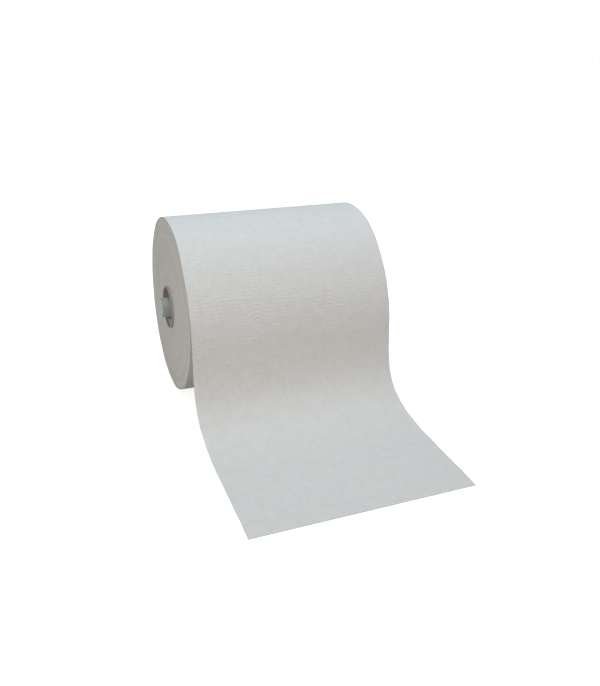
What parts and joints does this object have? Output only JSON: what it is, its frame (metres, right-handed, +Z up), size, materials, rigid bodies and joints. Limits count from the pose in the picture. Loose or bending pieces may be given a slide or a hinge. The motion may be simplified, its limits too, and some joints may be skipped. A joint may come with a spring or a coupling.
{
  "type": "paper towel roll",
  "caption": "Wide hand towel roll lying on its side, embossed web drawn out flat in front, board core with a plastic spigot plug at each end.",
  "frame": {"origin": "middle of the flat spot that the roll rests on, at floor level", "axes": "+X along the roll's axis towards its right end, -Y the way the loose end is drawn out, +Z up"},
  "size_m": [0.2288, 0.366, 0.1822],
  "materials": {
    "paper": "matte",
    "board": "matte",
    "plug": "satin"
  },
  "bodies": {
    "root": {"paper_web": "paper", "core_tube": "board", "left_plug": "plug", "right_plug": "plug"}
  },
  "joints": []
}
